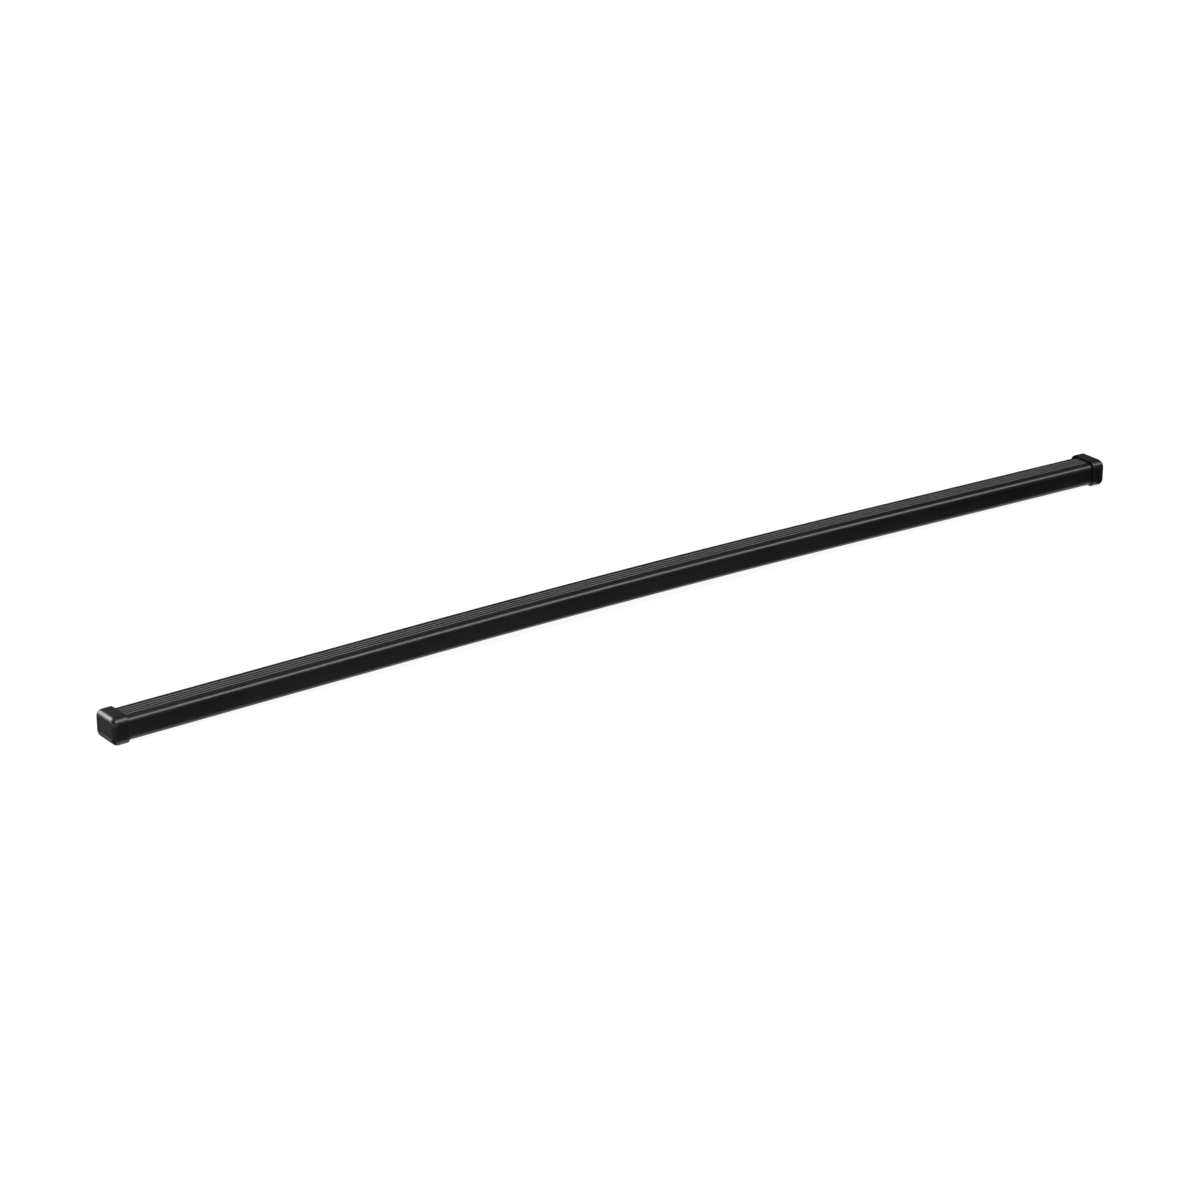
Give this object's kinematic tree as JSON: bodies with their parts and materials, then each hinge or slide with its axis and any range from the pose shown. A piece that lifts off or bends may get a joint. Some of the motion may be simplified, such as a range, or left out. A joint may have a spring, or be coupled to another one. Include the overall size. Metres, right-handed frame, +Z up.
{
  "type": "roof rack crossbar",
  "caption": "Rectangular roof rack crossbar: a gently bowed steel tube in a black plastic sleeve with grip ribs along the top and a moulded cap pushed into each end.",
  "frame": {"origin": "under mid-length and mid-width, on the surface that the end caps rest on", "axes": "+X along the bar to its right end, +Y across the bar to its rear, +Z up to the ribbed load side"},
  "size_m": [1.1802, 0.037, 0.0319],
  "materials": {
    "tube_steel": "zinc plated",
    "sleeve_plastic": "extruded, satin black",
    "cap_plastic": "injection moulded, fine satin black"
  },
  "bodies": {
    "root": {"steel_tube": "tube_steel", "ribbed_sleeve": "sleeve_plastic", "left_end_cap": "cap_plastic", "right_end_cap": "cap_plastic"}
  },
  "joints": []
}
